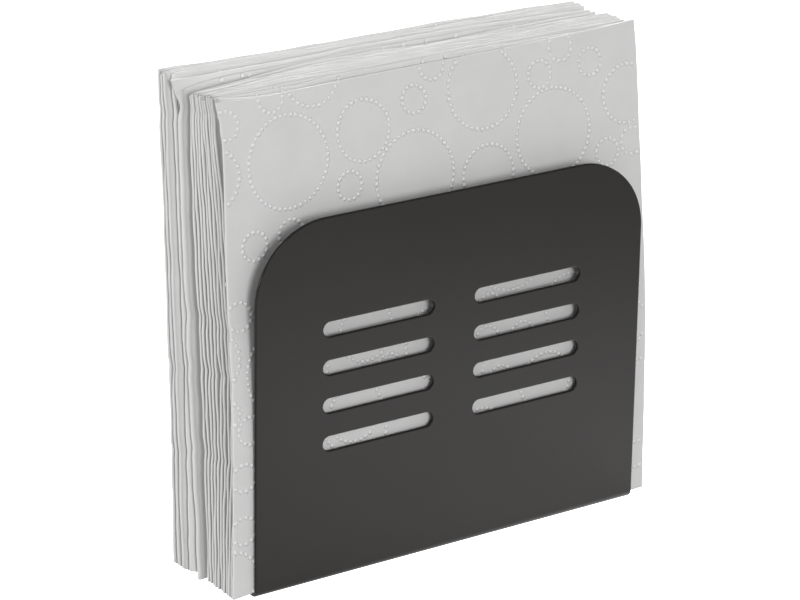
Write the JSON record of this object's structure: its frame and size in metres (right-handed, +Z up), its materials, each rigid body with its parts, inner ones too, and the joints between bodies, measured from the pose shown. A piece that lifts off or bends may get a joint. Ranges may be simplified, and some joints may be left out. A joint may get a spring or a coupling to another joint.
{
  "type": "napkin holder",
  "caption": "Upright napkin holder of bent sheet metal: two slotted plates on a flat base, with a leaning stack of square folded paper napkins that lift out one by one.",
  "frame": {"origin": "on the table, under the middle of the holder and its napkins together, which is 2.3 mm left of the holder's own middle", "axes": "+X along the plates to the right as seen from the front, +Y from the front plate to the back plate, +Z up"},
  "size_m": [0.1696, 0.0402, 0.1684],
  "materials": {
    "powder_coat": "charcoal powder coat, satin, with a fine grain",
    "pad_rubber": "soft matt rubber",
    "napkin_paper": "soft white tissue paper with embossed rings of dots"
  },
  "bodies": {
    "holder": {"holder": "powder_coat", "pad_front_left": "pad_rubber", "pad_front_right": "pad_rubber", "pad_back_left": "pad_rubber", "pad_back_right": "pad_rubber"},
    "napkin_01": {"napkin_01": "napkin_paper"},
    "napkin_02": {"napkin_02": "napkin_paper"},
    "napkin_03": {"napkin_03": "napkin_paper"},
    "napkin_04": {"napkin_04": "napkin_paper"},
    "napkin_05": {"napkin_05": "napkin_paper"},
    "napkin_06": {"napkin_06": "napkin_paper"},
    "napkin_07": {"napkin_07": "napkin_paper"},
    "napkin_08": {"napkin_08": "napkin_paper"},
    "napkin_09": {"napkin_09": "napkin_paper"},
    "napkin_10": {"napkin_10": "napkin_paper"},
    "napkin_11": {"napkin_11": "napkin_paper"},
    "napkin_12": {"napkin_12": "napkin_paper"},
    "napkin_13": {"napkin_13": "napkin_paper"},
    "napkin_14": {"napkin_14": "napkin_paper"},
    "napkin_15": {"napkin_15": "napkin_paper"},
    "napkin_16": {"napkin_16": "napkin_paper"}
  },
  "joints": [
    {"name": "napkin_01_lift", "type": "slide", "parent": "holder", "child": "napkin_01", "axis": [0, 0.075, 0.9972], "range_m": [0, 0.17]},
    {"name": "napkin_02_lift", "type": "slide", "parent": "holder", "child": "napkin_02", "axis": [0, 0.0738, 0.9973], "range_m": [0, 0.17]},
    {"name": "napkin_03_lift", "type": "slide", "parent": "holder", "child": "napkin_03", "axis": [0, 0.0727, 0.9974], "range_m": [0, 0.17]},
    {"name": "napkin_04_lift", "type": "slide", "parent": "holder", "child": "napkin_04", "axis": [0, 0.0715, 0.9974], "range_m": [0, 0.17]},
    {"name": "napkin_05_lift", "type": "slide", "parent": "holder", "child": "napkin_05", "axis": [0, 0.0703, 0.9975], "range_m": [0, 0.17]},
    {"name": "napkin_06_lift", "type": "slide", "parent": "holder", "child": "napkin_06", "axis": [0, 0.0692, 0.9976], "range_m": [0, 0.17]},
    {"name": "napkin_07_lift", "type": "slide", "parent": "holder", "child": "napkin_07", "axis": [0, 0.068, 0.9977], "range_m": [0, 0.17]},
    {"name": "napkin_08_lift", "type": "slide", "parent": "holder", "child": "napkin_08", "axis": [0, 0.0669, 0.9978], "range_m": [0, 0.17]},
    {"name": "napkin_09_lift", "type": "slide", "parent": "holder", "child": "napkin_09", "axis": [0, 0.0657, 0.9978], "range_m": [0, 0.17]},
    {"name": "napkin_10_lift", "type": "slide", "parent": "holder", "child": "napkin_10", "axis": [0, 0.0645, 0.9979], "range_m": [0, 0.17]},
    {"name": "napkin_11_lift", "type": "slide", "parent": "holder", "child": "napkin_11", "axis": [0, 0.0634, 0.998], "range_m": [0, 0.17]},
    {"name": "napkin_12_lift", "type": "slide", "parent": "holder", "child": "napkin_12", "axis": [0, 0.0622, 0.9981], "range_m": [0, 0.17]},
    {"name": "napkin_13_lift", "type": "slide", "parent": "holder", "child": "napkin_13", "axis": [0, 0.061, 0.9981], "range_m": [0, 0.17]},
    {"name": "napkin_14_lift", "type": "slide", "parent": "holder", "child": "napkin_14", "axis": [0, 0.0599, 0.9982], "range_m": [0, 0.17]},
    {"name": "napkin_15_lift", "type": "slide", "parent": "holder", "child": "napkin_15", "axis": [0, 0.0587, 0.9983], "range_m": [0, 0.17]},
    {"name": "napkin_16_lift", "type": "slide", "parent": "holder", "child": "napkin_16", "axis": [0, 0.0576, 0.9983], "range_m": [0, 0.17]}
  ]
}
